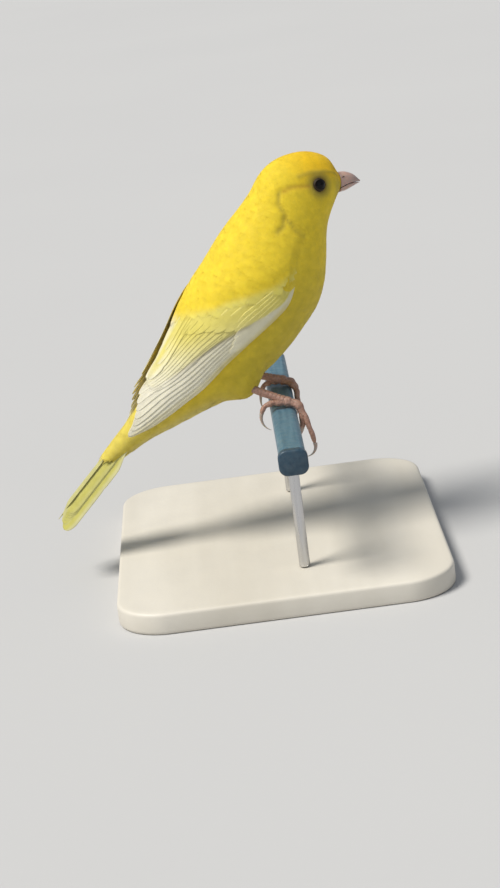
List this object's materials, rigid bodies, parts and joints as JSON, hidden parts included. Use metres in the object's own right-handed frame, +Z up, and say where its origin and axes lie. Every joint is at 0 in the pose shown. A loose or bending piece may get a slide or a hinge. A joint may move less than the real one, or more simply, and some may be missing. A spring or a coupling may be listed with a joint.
{
  "type": "canary on a perch",
  "caption": "Life-size still model of a yellow canary gripping a short cut length of teal cage perch, held on a plain display stand.",
  "frame": {"origin": "on the underside of the stand's base, straight below the middle of the perch", "axes": "+Z up, the bird faces +X, the perch runs along Y and the bird's right side is towards -Y"},
  "size_m": [0.1082, 0.112, 0.1131],
  "materials": {
    "plumage": "soft feathers",
    "flight_feathers": "smooth feathers",
    "bill": "horn, satin",
    "eye": "wet gloss",
    "leg_skin": "scaly skin, satin",
    "claw": "horn, satin",
    "perch": "worn moulded plastic",
    "perch_end": "moulded plastic",
    "stand_base": "plain satin",
    "stand_rod": "brushed"
  },
  "bodies": {
    "root": {"head": "plumage", "neck": "plumage", "torso": "plumage", "thigh_left": "plumage", "thigh_right": "plumage", "wing_left": "flight_feathers", "wing_right": "flight_feathers", "tail": "flight_feathers", "bill_upper": "bill", "bill_lower": "bill", "eye_left": "eye", "eye_right": "eye", "leg_left": "leg_skin", "leg_right": "leg_skin", "foot_left": "leg_skin", "foot_right": "leg_skin", "claw_left_hind": "claw", "claw_left_inner": "claw", "claw_left_middle": "claw", "claw_left_outer": "claw", "claw_right_hind": "claw", "claw_right_inner": "claw", "claw_right_middle": "claw", "claw_right_outer": "claw", "perch": "perch", "perch_end": "perch_end", "stand_base": "stand_base", "stand_rod_front": "stand_rod", "stand_rod_back": "stand_rod"}
  },
  "joints": []
}
